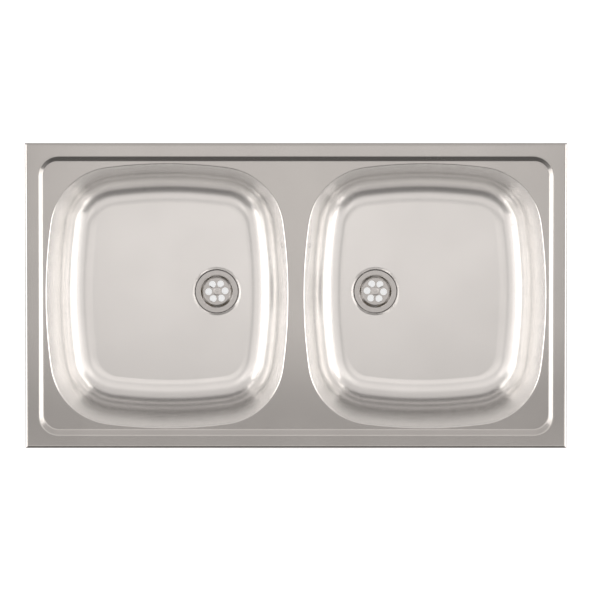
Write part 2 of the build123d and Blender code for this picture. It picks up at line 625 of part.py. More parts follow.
def make_all():
    """Every sub-part by its name."""
    spaces = {grow: bowl_space(grow) for grow in (SHEET, SHEET + OVERFLOW_GASKET)}
    overflow_screw = make_overflow_screw()
    overflow_screws = [on_side(side, overflow_screw) for side in (LEFT, RIGHT)]
    mirrored = {
        "bowl": make_bowl(),
        "overflow_gasket": make_overflow_gasket(spaces, overflow_screw),
        "damping_pad": make_damping_pad(),
    }
    sub_parts = {
        "deck": make_deck(),
        "rim_seal": make_rim_seal(),
        "overflow_box": make_overflow_box(spaces, overflow_screws),
        "overflow_screws": Compound(children=overflow_screws),
        "overflow_hose": make_overflow_hose(),
        "hose_clamps": Compound(children=hose_clamps()),
    }
    for side, turn in ((LEFT, GRATE_TURN_LEFT), (RIGHT, GRATE_TURN_RIGHT)):
        for name, shape in mirrored.items():
            sub_parts[f"{name}_{side}"] = on_side(side, shape)
        drain = {
            "strainer": make_strainer(turn),
            "drain_screw": make_drain_screw(),
            "flange_seal": make_flange_seal(),
            "waste_gasket": make_waste_gasket(),
            "waste_body": make_waste_body(turn),
            "threaded_insert": make_insert(),
        }
        for name, shape in drain.items():
            sub_parts[f"{name}_{side}"] = at_drain(side, shape)
    sub_parts["waste_body_left"] = add_inlet(sub_parts["waste_body_left"])
    places = clip_places()
    sub_parts["clip_brackets"] = Compound(children=[at * make_clip_bracket() for at in places.values()])
    sub_parts["clip_pins"] = Compound(children=[at * make_clip_pin() for at in places.values()])
    for name, at in places.items():
        sub_parts[f"clip_claw_{name}"] = at * make_clip_claw()
        sub_parts[f"clip_pad_{name}"] = at * make_clip_pad()
        sub_parts[f"clip_screw_{name}"] = at * make_clip_screw()
    return sub_parts


for node, solid in make_all().items():
    export_step(solid, f"parts/{node}.step")
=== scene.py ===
"""Double bowl kitchen sink: the finish of its pressed steel, its fittings and threads, its studio.

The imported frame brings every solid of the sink. The operators below give the solids their
finishes, and model the threads, the hose, its clamps and the soft pieces that stand in for
plainer ones. Lengths are in metres and turns in radians.
"""
import math
import bmesh
import bpy
from mathutils import Matrix, Vector


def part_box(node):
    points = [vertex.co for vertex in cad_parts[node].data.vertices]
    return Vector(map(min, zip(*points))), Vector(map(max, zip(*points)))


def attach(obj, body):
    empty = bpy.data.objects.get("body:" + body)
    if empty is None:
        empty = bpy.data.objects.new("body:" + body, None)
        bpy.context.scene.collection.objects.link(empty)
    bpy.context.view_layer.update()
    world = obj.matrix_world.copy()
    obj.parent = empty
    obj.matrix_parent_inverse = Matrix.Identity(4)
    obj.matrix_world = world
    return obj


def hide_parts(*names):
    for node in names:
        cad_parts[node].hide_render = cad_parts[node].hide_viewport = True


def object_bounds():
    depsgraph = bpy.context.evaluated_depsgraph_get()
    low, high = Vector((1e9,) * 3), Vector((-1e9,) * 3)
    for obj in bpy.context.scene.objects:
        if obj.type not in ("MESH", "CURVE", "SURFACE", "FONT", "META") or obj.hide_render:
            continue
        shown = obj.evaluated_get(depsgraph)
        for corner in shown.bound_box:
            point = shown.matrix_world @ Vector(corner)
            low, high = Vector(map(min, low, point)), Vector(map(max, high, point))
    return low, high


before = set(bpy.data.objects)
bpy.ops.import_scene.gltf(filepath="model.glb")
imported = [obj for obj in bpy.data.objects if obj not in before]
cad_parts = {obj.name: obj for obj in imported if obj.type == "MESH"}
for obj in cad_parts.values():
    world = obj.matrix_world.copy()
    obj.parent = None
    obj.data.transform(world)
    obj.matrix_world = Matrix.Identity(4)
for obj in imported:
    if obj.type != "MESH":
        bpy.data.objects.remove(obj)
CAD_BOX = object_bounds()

bl_info = {
    "name": "Double Bowl Sink",
    "version": (1, 0, 0),
    "blender": (4, 5, 0),
    "location": "3D View > Sidebar > Sink",
    "description": "Finishes a double bowl kitchen sink around its packed frame",
    "category": "Object",
}

SIDES = ("left", "right")
CLAW = "clip_claw_"
CLIPS = sorted(name.removeprefix(CLAW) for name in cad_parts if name.startswith(CLAW))

# How close to a place a point counts as there, and how close two points become one
NEAR = 1e-5
MERGED = 1e-6
# Past this cosine a face looks a given way
FACING = 0.9

# The deck's steel takes the bowls' lighter colour between these two heights, where it is drawn into
# them: a painted highlight along the lips
COLLAR_TOP = 0.00096
COLLAR_FOOT = 0.00056

# A screw thread's ridge, in pitches: how far its root is sunk into the shank, how wide the root
# is and where the first turn starts. The crest's width is a share of the root's.
THREAD_SUNK = 0.15
THREAD_ROOT = 0.8
THREAD_START = 0.6
THREAD_CREST = 0.2

# The wastes' threaded tails, whose outer wall takes in the points that lie a skin inside it
TAIL_RADIUS = 0.0239
TAIL_LENGTH = 0.022
TAIL_CORE = 0.0224
TAIL_PITCH = 0.002309
TAIL_PLAIN_END = 0.0012
TAIL_SKIN = 0.0004
TAIL_STEPS = 64

# The clips' screws
SCREW_RADIUS = 0.003
SCREW_CORE = 0.00245
SCREW_PITCH = 0.001
SCREW_HEAD = 0.0036
SCREW_STEPS = 24

# The overflow hose: its radii inside, between the ribs and over them, and its plain cuffs
HOSE_BORE = 0.008
HOSE_ROOT = HOSE_BORE + 0.0008
HOSE_RADIUS = 0.010
HOSE_SIDES = 40
HOSE_CUFF = 0.018
CUFF_SHOULDER = 0.001
# Its route: the radius of its bend, and how far from the waste's middle it ends
HOSE_BEND = 0.085
HOSE_SEAT = 0.034
ROUTE_STEPS = 64
# One rib of the hose from its foot: the length of each step, in pitches, and the radius it ends at
RIB_SHOULDER = 0.97 * HOSE_RADIUS
RIB = (
    (0.22, RIB_SHOULDER),
    (0.08, HOSE_RADIUS),
    (0.28, HOSE_RADIUS),
    (0.08, RIB_SHOULDER),
    (0.22, HOSE_ROOT),
    (0.12, HOSE_ROOT),
)

# The hose's clamps: the band, and the turns from the housing between which it is slotted
CLAMP_SETBACK = 0.008
CLAMP_WIDTH = 0.008
CLAMP_BAND = 0.0008
CLAMP_SIDES = 96
BAND_OUTSIDE = HOSE_RADIUS + 0.9 * CLAMP_BAND
SLOTS_START = 0.35
SLOTS_END = 1.6
SLOT_MARGIN = 0.00012
SLOT_EDGE = 0.00004
SLOT_DEPTH = 0.00035
# The housing and the head of its screw, which together are as long as the housing is high
CLAMP_BLOCK = 0.006
HOUSING_LENGTH = 0.62 * CLAMP_BLOCK
HOUSING_ROUNDING = 0.0016
HEAD_LENGTH = CLAMP_BLOCK - HOUSING_LENGTH
HEAD_RADIUS = 0.36 * CLAMP_BLOCK
HEAD_RISE = 0.52 * CLAMP_BLOCK
HEAD_RIM = 0.0004
HEAD_ROUNDING = 0.0002
RECESS_EDGE = 0.0003
RECESS_DEPTH = 0.0005

# The soft pieces: how far their edges are rounded, and the cells that they are made of
GASKET_ROUNDING = 0.0002
RIM_SEAL_ROUNDING = 0.0012
PAD_ROUNDING = 0.0008
FOAM_CELL = 0.0009
FOAM_DEPTH = 0.0002
FELT_CELL = 0.0018
FELT_DEPTH = 0.0003

# Colours of the small parts
SCREW_STEEL = (0.70, 0.69, 0.68)
CLAMP_STEEL = (0.62, 0.62, 0.62)
ZINC_PLATE = (0.60, 0.61, 0.62)
TURNED_BRASS = (0.80, 0.60, 0.30)
SEAL_RUBBER = (0.03, 0.03, 0.03)
PAD_NYLON = (0.035, 0.035, 0.035)
RIM_FOAM = (0.22, 0.22, 0.22)
DAMPING_FELT = (0.075, 0.07, 0.065)
WHITE = (1, 1, 1, 1)

# Marks on the surfaces: how many to a metre, and how high they stand
NOISE = "ShaderNodeTexNoise"
SHEEN_PATCHES = 9
PRESS_RIPPLES = 55
RIPPLE_HEIGHT = 0.00001
BRUSH_HEIGHT = 0.000001
TARNISH_CLOUDS = 140
METAL_PITS = 1600
PIT_HEIGHT = 0.000006
FLOW_MARKS = 45
PLASTIC_GRAIN = 2500
GRAIN_HEIGHT = 0.00002
SOFT_MOTTLE = 220
# A noise seldom leaves these two values, which count as its lowest and its highest
NOISE_LOW = 0.3
NOISE_HIGH = 0.7

# The camera: the picture's side in pixels, and the sensor in millimetres
PICTURE_SIDE = 600
SENSOR_WIDTH = 36
CAMERA_REACH = 100
# The floor, and how brightly the camera and the sink's own reflections see it
FLOOR_SIZE = 60.0
FLOOR_GAP = 0.0002
FLOOR_LEVEL = CAD_BOX[0].z - FLOOR_GAP
SEEN_FLOOR = 0.8
MIRRORED_FLOOR = 0.2
# The walls' brightness from the front (-1) by way of overhead (0) to the back (1)
WALLS = (
    (-1.0, 0.13),
    (-0.85, 0.13),
    (-0.7, 0.25),
    (-0.5, 0.27),
    (-0.3, 0.27),
    (-0.1, 0.26),
    (0.1, 0.40),
    (0.3, 0.49),
    (0.5, 0.58),
    (0.7, 0.60),
    (0.85, 0.58),
    (1.0, 0.72),
)
# How much brighter the walls are straight to each side, and from where they start to brighten
SIDE_WALLS = 2.0
SIDE_WALLS_START = 0.9
# Lamps as (name, place, width and length): the right one of each pair, then the single ones
PAIRED_LAMPS = (
    ("side", (3.0, 0, 1.7), (3.0, 1.6)),
    ("low", (1.8, 0, 0.55), (2.0, 0.7)),
    ("high", (1.2, 0, 1.6), (2.0, 0.8)),
)
SINGLE_LAMPS = (
    ("overhead", (0, 0.03, 1.6), (1.1, 0.5)),
    ("front", (0, -0.8, 1.6), (2.0, 0.9)),
    ("back", (0, 0.45, 0.9), (1.4, 0.5)),
)


# Sizes, colours and light that a user would change -----------------------------------------------

class SteelSettings(bpy.types.PropertyGroup):
    """The finish of the sink's pressed steel."""
    deck_colour: bpy.props.FloatVectorProperty(
        name="Deck colour", description="Reflected colour of the deck's steel",
        subtype="COLOR", size=3, min=0, max=1, default=(0.60, 0.59, 0.575))
    # The bowls are the deck's steel, but their colour is painted lighter to stand for the brighter
    # light in them: painted light
    bowl_colour_with_painted_light: bpy.props.FloatVectorProperty(
        name="Bowl colour", description="Reflected colour of the drawn bowls",
        subtype="COLOR", size=3, min=0, max=1, default=(0.885, 0.88, 0.872))
    strainer_colour: bpy.props.FloatVectorProperty(
        name="Strainer colour", description="Reflected colour of the strainers",
        subtype="COLOR", size=3, min=0, max=1, default=(0.61, 0.60, 0.59))
    deck_roughness: bpy.props.FloatProperty(
        name="Deck roughness", description="How satin the deck is",
        subtype="FACTOR", min=0, max=1, default=0.20)
    bowl_roughness: bpy.props.FloatProperty(
        name="Bowl roughness", description="How satin the bowls are",
        subtype="FACTOR", min=0, max=1, default=0.25)
    grain_width: bpy.props.FloatProperty(
        name="Grain width", description="Width of one brush line", unit="LENGTH", default=0.0004)


class FittingSettings(bpy.types.PropertyGroup):
    """The moulded fittings under the sink."""
    waste_colour: bpy.props.FloatVectorProperty(
        name="Waste colour", description="Colour of the waste bodies and the overflow box",
        subtype="COLOR", size=3, min=0, max=1, default=(0.80, 0.80, 0.77))
    hose_colour: bpy.props.FloatVectorProperty(
        name="Hose colour", description="Colour of the overflow hose",
        subtype="COLOR", size=3, min=0, max=1, default=(0.70, 0.70, 0.68))
    rib_pitch: bpy.props.FloatProperty(
        name="Rib pitch", description="From one rib of the hose to the next",
        unit="LENGTH", default=0.004)


class StageSettings(bpy.types.PropertyGroup):
    """The camera, the lamps and the floor."""
    distance: bpy.props.FloatProperty(
        name="Camera distance", description="From the camera to the deck",
        unit="LENGTH", default=5.5)
    tilt: bpy.props.FloatProperty(
        name="Camera tilt", description="How far the camera leans from straight down",
        unit="ROTATION", default=math.radians(-2.5))
    pixel: bpy.props.FloatProperty(
        name="Pixel size", description="Length on the deck that one pixel covers",
        unit="LENGTH", default=0.0014391)
    aim: bpy.props.FloatVectorProperty(
        name="Aim", description="The point that the picture's middle shows",
        unit="LENGTH", size=3, default=(0.00576, -0.00597, 0.004))
    side_power: bpy.props.FloatProperty(
        name="Side lamps", description="Power of each large lamp beside the sink",
        unit="POWER", default=10.6)
    low_power: bpy.props.FloatProperty(
        name="Low side lamps", description="Power of each small lamp beside the sink",
        unit="POWER", default=8.4)
    high_power: bpy.props.FloatProperty(
        name="High side lamps", description="Power of each lamp high beside the sink",
        unit="POWER", default=2.26)
    overhead_power: bpy.props.FloatProperty(
        name="Overhead lamp", description="Power of the lamp above the sink",
        unit="POWER", default=0.9)
    front_power: bpy.props.FloatProperty(
        name="Front lamp", description="Power of the lamp high in front",
        unit="POWER", default=2.7)
    back_power: bpy.props.FloatProperty(
        name="Back lamp", description="Power of the lamp low behind",
        unit="POWER", default=0.5)
    light_colour: bpy.props.FloatVectorProperty(
        name="Light colour", description="Colour of the lamps and of the studio's walls",
        subtype="COLOR", size=3, min=0, max=2, default=(1.055, 1.0, 0.965))
    floor_colour: bpy.props.FloatVectorProperty(
        name="Floor colour", description="Colour of the floor",
        subtype="COLOR", size=3, min=0, max=1, default=(0.6, 0.6, 0.6))


class SinkSettings(bpy.types.PropertyGroup):
    """All settings of the sink."""
    steel: bpy.props.PointerProperty(name="Steel", type=SteelSettings)
    fittings: bpy.props.PointerProperty(name="Fittings", type=FittingSettings)
    stage: bpy.props.PointerProperty(name="Stage", type=StageSettings)


# Materials ---------------------------------------------------------------------------------------

def add_node(tree, kind, inputs=None, **settings):
    """A new shader node: its own settings, and its inputs as values or other nodes' outputs."""
    node = tree.nodes.new(kind)
    for name, value in settings.items():
        setattr(node, name, value)
    for socket, value in (inputs or {}).items():
        if isinstance(value, bpy.types.NodeSocket):
            tree.links.new(value, node.inputs[socket])
        else:
            node.inputs[socket].default_value = value
    return node


def worked_out(tree, operation, *values):
    """The output of a Math node on values or other nodes' outputs."""
    return add_node(tree, "ShaderNodeMath", dict(enumerate(values)), operation=operation).outputs[0]


def new_material(name, colour, roughness, metallic=0.0, specular=0.5):
    """A material with its shader's own sockets set, as (material, node tree, shader)."""
    material = bpy.data.materials.new(name)
    material.use_nodes = True
    tree = material.node_tree
    shader = tree.nodes["Principled BSDF"]
    shader.inputs["Base Color"].default_value = (*colour, 1)
    shader.inputs["Roughness"].default_value = roughness
    shader.inputs["Metallic"].default_value = metallic
    shader.inputs["Specular IOR Level"].default_value = specular
    return material, tree, shader


def pattern(tree, kind, scale, stretch=(1, 1, 1), **values):
    """The output of a texture on Object coordinates, its own sockets set by name."""
    place = add_node(tree, "ShaderNodeTexCoord")
    mapping = add_node(tree, "ShaderNodeMapping", {
        "Vector": place.outputs["Object"], "Scale": stretch})
    texture = add_node(tree, kind, {
        "Vector": mapping.outputs["Vector"], "Scale": scale, **values})
    return texture.outputs[0]


def scaled(colour, factor):
    """A colour made darker or lighter."""
    return tuple(min(1, part * factor) for part in colour)


def tint(tree, shader, texture, colour, darker, lighter):
    """Varies a shader's colour between a darker and a lighter shade by a texture."""
    ramp = add_node(tree, "ShaderNodeValToRGB", {"Fac": texture})
    low, high = ramp.color_ramp.elements
    low.position = NOISE_LOW
    high.position = NOISE_HIGH
    low.color = (*scaled(colour, darker), 1)
    high.color = (*scaled(colour, lighter), 1)
    tree.links.new(ramp.outputs["Color"], shader.inputs["Base Color"])


def sheen(tree, shader, texture, smoothest, roughest):
    """Varies a shader's roughness between two values by a texture."""
    ranged = add_node(tree, "ShaderNodeMapRange", {
        "Value": texture, "From Min": NOISE_LOW, "From Max": NOISE_HIGH,
        "To Min": smoothest, "To Max": roughest})
    tree.links.new(ranged.outputs["Result"], shader.inputs["Roughness"])


def bump(tree, shader, *layers):
    """Raises a shader's surface by one or more textures, each with its height."""
    below = {}
    for texture, height in layers:
        node = add_node(tree, "ShaderNodeBump", {"Height": texture, "Distance": height, **below})
        below = {"Normal": node.outputs["Normal"]}
    tree.links.new(below["Normal"], shader.inputs["Normal"])


def pressed_steel(name, colour, roughness, grain, stretch):
    """Satin stainless steel: fine brush lines, and a slow change of shade from the press."""
    material, tree, shader = new_material(name, colour, roughness, metallic=1)
    brush = pattern(tree, NOISE, 1 / grain, stretch, Detail=3, Roughness=0.6)
    slow = pattern(tree, NOISE, SHEEN_PATCHES, Detail=2, Roughness=0.5)
    ripple = pattern(tree, NOISE, PRESS_RIPPLES, Detail=1, Roughness=0.4)
    tint(tree, shader, slow, colour, darker=0.97, lighter=1.03)
    sheen(tree, shader, brush, smoothest=roughness - 0.02, roughest=roughness + 0.02)
    bump(tree, shader, (ripple, RIPPLE_HEIGHT), (brush, BRUSH_HEIGHT))
    return material


def paint_collar_highlight(material, colour):
    """Gives the deck's steel the bowls' lighter colour where it is drawn down into them: a painted
    highlight along the lips.
    """
    tree = material.node_tree
    base = tree.nodes["Principled BSDF"].inputs["Base Color"]
    flat = base.links[0].from_socket
    place = add_node(tree, "ShaderNodeTexCoord")
    split = add_node(tree, "ShaderNodeSeparateXYZ", {"Vector": place.outputs["Object"]})
    level = add_node(tree, "ShaderNodeMapRange", {
        "Value": split.outputs["Z"], "From Min": COLLAR_FOOT, "From Max": COLLAR_TOP})
    blend = add_node(tree, "ShaderNodeMix", {
        "Factor": level.outputs["Result"], "A": (*colour, 1), "B": flat}, data_type="RGBA")
    tree.links.new(blend.outputs["Result"], base)


def bright_metal(name, colour, roughness, tarnish=0.9):
    """Plated or polished metal: small cloudy marks and pits."""
    material, tree, shader = new_material(name, colour, roughness, metallic=1)
    cloud = pattern(tree, NOISE, TARNISH_CLOUDS, Detail=5, Roughness=0.65)
    pits = pattern(tree, NOISE, METAL_PITS, Detail=2, Roughness=0.5)
    tint(tree, shader, cloud, colour, darker=tarnish, lighter=1.03)
    sheen(tree, shader, cloud, smoothest=roughness * 0.8, roughest=roughness * 1.25)
    bump(tree, shader, (pits, PIT_HEIGHT))
    return material


def moulded_plastic(name, colour, roughness):
    """Moulded plastic: a fine eroded grain and slight flow marks."""
    material, tree, shader = new_material(name, colour, roughness)
    flow = pattern(tree, NOISE, FLOW_MARKS, (1, 1, 0.3), Detail=3, Roughness=0.5)
    grain = pattern(tree, NOISE, PLASTIC_GRAIN, Detail=2, Roughness=0.6)
    tint(tree, shader, flow, colour, darker=0.93, lighter=1.02)
    sheen(tree, shader, grain, smoothest=roughness - 0.06, roughest=roughness + 0.06)
    bump(tree, shader, (grain, GRAIN_HEIGHT))
    return material


def cellular(name, colour, roughness, cell, depth):
    """Foam or felt: a mottled colour over packed cells."""
    material, tree, shader = new_material(name, colour, roughness, specular=0.25)
    cells = pattern(tree, "ShaderNodeTexVoronoi", 1 / cell, Randomness=1)
    mottle = pattern(tree, NOISE, SOFT_MOTTLE, Detail=4, Roughness=0.7)
    tint(tree, shader, mottle, colour, darker=0.7, lighter=1.2)
    bump(tree, shader, (cells, depth), (mottle, depth / 2))
    return material


def dress(node, material):
    """Gives a node of the frame its material."""
    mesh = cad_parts[node].data
    mesh.materials.clear()
    mesh.materials.append(material)


# Modelling ---------------------------------------------------------------------------------------

def middle_of(node):
    """The middle of a node's box."""
    low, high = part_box(node)
    return (Vector(low) + Vector(high)) / 2


def pick(*pieces):
    """Selects only these pieces, the first of them active."""
    bpy.ops.object.select_all(action="DESELECT")
    for piece in pieces:
        piece.select_set(True)
    bpy.context.view_layer.objects.active = pieces[0]


def added(name):
    """The piece that a primitive has just made, named."""
    piece = bpy.context.object
    piece.name = name
    piece.data.name = name
    return piece


def edit(piece, kind="VERT", action="DESELECT"):
    """Opens a piece in edit mode, with nothing or all of it selected."""
    pick(piece)
    bpy.ops.object.mode_set(mode="EDIT")
    bpy.ops.mesh.select_mode(type=kind)
    bpy.ops.mesh.select_all(action=action)


def close_edit():
    """Leaves edit mode."""
    bpy.ops.object.mode_set(mode="OBJECT")


def choose(piece, kind, test):
    """In edit mode, selects the verts or faces that pass a test."""
    mesh = bmesh.from_edit_mesh(piece.data)
    for part in getattr(mesh, kind):
        part.select_set(False)
    for part in getattr(mesh, kind):
        if test(part):
            part.select_set(True)
    bmesh.update_edit_mesh(piece.data)


def extrude(x):
    """Extrudes what is selected along X."""
    bpy.ops.mesh.extrude_region_move(TRANSFORM_OT_translate={"value": (x, 0, 0)})


def resize(about, x=1.0, y=1.0, z=1.0):
    """Scales what is selected about a point."""
    bpy.ops.transform.resize(value=(x, y, z), center_override=about)


def mend_normals():
    """In edit mode, merges what meets and turns all faces outwards."""
    bpy.ops.mesh.select_all(action="SELECT")
    bpy.ops.mesh.remove_doubles(threshold=MERGED)
    bpy.ops.mesh.normals_make_consistent(inside=False)


def modify(piece, kind, **values):
    """Adds a modifier with these values and applies it."""
    pick(piece)
    modifier = piece.modifiers.new(kind.title(), kind)
    for name, value in values.items():
        setattr(modifier, name, value)
    bpy.ops.object.modifier_apply(modifier=modifier.name)


def place(piece):
    """Moves a piece's place, turn and scale into its mesh."""
    pick(piece)
    bpy.ops.object.transform_apply(location=True, rotation=True, scale=True)


def smooth(piece, degrees=35):
    """Shades a piece smooth, apart from edges that turn by more than this."""
    pick(piece)
    bpy.ops.object.shade_smooth_by_angle(angle=math.radians(degrees))


def fuse(*pieces):
    """Joins pieces into the first of them."""
    pick(*pieces)
    bpy.ops.object.join()


def copy_of(node, name):
    """A merged copy of a node's mesh, to be shaped further."""
    piece = bpy.data.objects.new(name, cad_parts[node].data.copy())
    bpy.context.scene.collection.objects.link(piece)
    edit(piece, action="SELECT")
    bpy.ops.mesh.remove_doubles(threshold=MERGED)
    close_edit()
    bpy.ops.mesh.customdata_custom_splitnormals_clear()
    return piece


def duplicate(piece, name):
    """A copy of a piece with its own mesh."""
    other = piece.copy()
    other.data = piece.data.copy()
    other.name = name
    bpy.context.scene.collection.objects.link(other)
    return other


def hand_over(piece, body, slot, material, *nodes):
    """Finishes a piece: its material, the body it rides on and the nodes it stands for."""
    piece.data.materials.clear()
    piece.data.materials.append(material)
    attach(piece, body)
    if nodes:
        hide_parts(*nodes)


def softened(node, name, width, slot, material):
    """Stands in for a soft node: the same shape with its edges rounded."""
    piece = copy_of(node, name)
    modify(piece, "BEVEL", width=width, segments=3, limit_method="ANGLE",
           angle_limit=math.radians(40))
    smooth(piece, degrees=50)
    hand_over(piece, "sink", slot, material, node)
    return piece


def slim(piece, axis, test, share):
    """Draws those points of a piece that pass a test in towards a vertical axis."""
    edit(piece)
    choose(piece, "verts", test)
    resize(axis, x=share, y=share)
    close_edit()


def screw_thread(name, core, crest, low, high, pitch, steps):
    """The ridge of a screw thread round the Z axis, its root sunk a little into the shank."""
    root = core - THREAD_SUNK * pitch
    middle = (root + crest) / 2
    bpy.ops.mesh.primitive_plane_add(
        size=1, location=(middle, 0, 0), rotation=(math.pi / 2, 0, 0))
    ridge = added(name)
    ridge.scale = (crest - root, THREAD_ROOT * pitch, 1)
    place(ridge)
    edit(ridge)
    choose(ridge, "verts", lambda vert: vert.co.x > middle)
    resize((crest, 0, 0), z=THREAD_CREST)
    bpy.ops.mesh.select_all(action="SELECT")
    bpy.ops.mesh.delete(type="ONLY_FACE")
    close_edit()
    turns = max(1, int((high - low) / pitch) - 1)
    modify(ridge, "SCREW", screw_offset=pitch, iterations=turns, steps=steps, render_steps=steps)
    edit(ridge, action="SELECT")
    bpy.ops.mesh.fill_holes(sides=4)
    mend_normals()
    close_edit()
    ridge.location.z = low + THREAD_START * pitch
    place(ridge)
    return ridge


def hose_route(start, corner, end):
    """The hose's middle line, a curve: a straight, a quarter arc and a straight."""
    bpy.ops.curve.primitive_bezier_curve_add()
    route = bpy.context.object
    route.data.resolution_u = ROUTE_STEPS
    points = route.data.splines[0].bezier_points
    points.add(2)
    before = (start - corner).normalized()
    after = (end - corner).normalized()
    spots = (start, corner + before * HOSE_BEND, corner + after * HOSE_BEND, end)
    for point, spot in zip(points, spots):
        point.handle_left_type = point.handle_right_type = "FREE"
        point.co = spot
    first, second, third, last = points
    grip = HOSE_BEND * 4 / 3 * math.tan(math.pi / 8)
    first.handle_left = first.co
    first.handle_right = first.co.lerp(second.co, 1 / 3)
    second.handle_left = second.co.lerp(first.co, 1 / 3)
    second.handle_right = second.co - before * grip
    third.handle_left = third.co - after * grip
    third.handle_right = third.co.lerp(last.co, 1 / 3)
    last.handle_left = last.co.lerp(third.co, 1 / 3)
    last.handle_right = last.co
    return route


def ring_at(x, low=0.0, high=math.inf):
    """A test for a tube's points in the plane at x, between two distances from the X axis."""
    def on_ring(vert):
        return abs(vert.co.x - x) < NEAR and low < math.hypot(vert.co.y, vert.co.z) < high

    return on_ring


def ribbed_tube(name, pitch, ribs):
    """A corrugated tube along X with a smooth bore and a plain cuff at each end."""
    across = (0, math.pi / 2, 0)
    bpy.ops.mesh.primitive_circle_add(vertices=HOSE_SIDES, radius=HOSE_ROOT, rotation=across)
    tube = added(name)
    place(tube)
    edit(tube, action="SELECT")
    reached = 0.0
    radius = HOSE_ROOT
    for step, grown in RIB:
        extrude(step * pitch)
        reached += step * pitch
        resize((reached, 0, 0), y=grown / radius, z=grown / radius)
        radius = grown
    close_edit()
    bpy.ops.mesh.primitive_circle_add(vertices=HOSE_SIDES, radius=HOSE_BORE, rotation=across)
    bore = added("bore")
    place(bore)
    edit(bore, action="SELECT")
    extrude(pitch)
    close_edit()
    fuse(tube, bore)
    modify(tube, "ARRAY", count=ribs, use_relative_offset=False, use_constant_offset=True,
           constant_offset_displace=(pitch, 0, 0), use_merge_vertices=True,
           merge_threshold=MERGED)
    in_wall = (HOSE_BORE + HOSE_ROOT) / 2
    spread = HOSE_RADIUS / HOSE_ROOT
    edit(tube)
    for end, way in ((0.0, -1), (pitch * ribs, 1)):
        choose(tube, "verts", ring_at(end, low=in_wall))
        extrude(way * CUFF_SHOULDER)
        resize((end, 0, 0), y=spread, z=spread)
        extrude(way * (HOSE_CUFF - CUFF_SHOULDER))
        choose(tube, "verts", ring_at(end, high=in_wall))
        extrude(way * HOSE_CUFF)
        choose(tube, "verts", ring_at(end + way * HOSE_CUFF))
        bpy.ops.mesh.bridge_edge_loops()
    mend_normals()
    close_edit()
    tube.location.x = HOSE_CUFF
    place(tube)
    return tube


def slotted(face):
    """Whether a face of a clamp's band is cut: by turns, on its outside beside the housing."""
    spot = face.calc_center_median()
    turn = math.atan2(spot.y, spot.x)
    column = int(turn / (2 * math.pi / CLAMP_SIDES) + CLAMP_SIDES)
    outside = math.hypot(spot.x, spot.y) > BAND_OUTSIDE
    return outside and SLOTS_START < abs(turn) < SLOTS_END and column % 2 == 0


def worm_clamp(name):
    """A worm-drive clamp round the Z axis: a slotted band, and its screw's housing towards +X."""
    bpy.ops.mesh.primitive_cylinder_add(
        vertices=CLAMP_SIDES, radius=HOSE_RADIUS, depth=CLAMP_WIDTH, end_fill_type="NOTHING")
    band = added(name)
    edit(band, "FACE", "SELECT")
    bpy.ops.mesh.subdivide(number_cuts=1)
    close_edit()
    modify(band, "SOLIDIFY", thickness=CLAMP_BAND, offset=1)
    edit(band, "FACE")
    choose(band, "faces", slotted)
    bpy.ops.mesh.inset(thickness=SLOT_MARGIN, use_individual=True)
    bpy.ops.mesh.inset(thickness=SLOT_EDGE, depth=-SLOT_DEPTH, use_individual=True)
    close_edit()
    bpy.ops.mesh.primitive_cube_add(
        size=1, location=(HOSE_RADIUS + CLAMP_BLOCK / 2, -HEAD_LENGTH / 2, 0))
    housing = added("housing")
    housing.scale = (CLAMP_BLOCK, HOUSING_LENGTH, CLAMP_WIDTH)
    place(housing)
    modify(housing, "BEVEL", width=HOUSING_ROUNDING, segments=5, limit_method="ANGLE")
    bpy.ops.mesh.primitive_cylinder_add(
        vertices=6, radius=HEAD_RADIUS, depth=HEAD_LENGTH,
        location=(HOSE_RADIUS + HEAD_RISE, HOUSING_LENGTH / 2, 0), rotation=(math.pi / 2, 0, 0))
    head = added("head")
    place(head)
    edit(head, "FACE")
    choose(head, "faces", lambda face: face.normal.y > FACING)
    bpy.ops.mesh.inset(thickness=HEAD_RIM)
    bpy.ops.mesh.inset(thickness=RECESS_EDGE, depth=-RECESS_DEPTH)
    close_edit()
    modify(head, "BEVEL", width=HEAD_ROUNDING, segments=2, limit_method="ANGLE")
    fuse(band, housing, head)
    smooth(band)
    return band


# Stage -------------------------------------------------------------------------------------------

def add_floor(colour):
    """A pale floor just under the wastes: it keeps the shadow, and is clear from below."""
    bpy.ops.mesh.primitive_plane_add(size=FLOOR_SIZE, location=(0, 0, FLOOR_LEVEL))
    floor = added("studio_floor")
    material, tree, shader = new_material("studio_floor", colour, roughness=0.9, specular=0.1)
    ray = add_node(tree, "ShaderNodeLightPath").outputs
    mirrored = worked_out(tree, "MAXIMUM", ray["Is Glossy Ray"], ray["Is Transmission Ray"])
    dimmed = worked_out(tree, "MULTIPLY", mirrored, MIRRORED_FLOOR)
    glow = worked_out(tree, "MULTIPLY_ADD", ray["Is Camera Ray"], SEEN_FLOOR, dimmed)
    tree.links.new(glow, shader.inputs["Emission Strength"])
    shader.inputs["Emission Color"].default_value = WHITE
    side = add_node(tree, "ShaderNodeNewGeometry")
    clear = add_node(tree, "ShaderNodeBsdfTransparent")
    either = add_node(tree, "ShaderNodeMixShader", {
        "Fac": side.outputs["Backfacing"], 1: shader.outputs["BSDF"], 2: clear.outputs["BSDF"]})
    tree.links.new(either.outputs["Shader"], tree.nodes["Material Output"].inputs["Surface"])
    floor.data.materials.append(material)


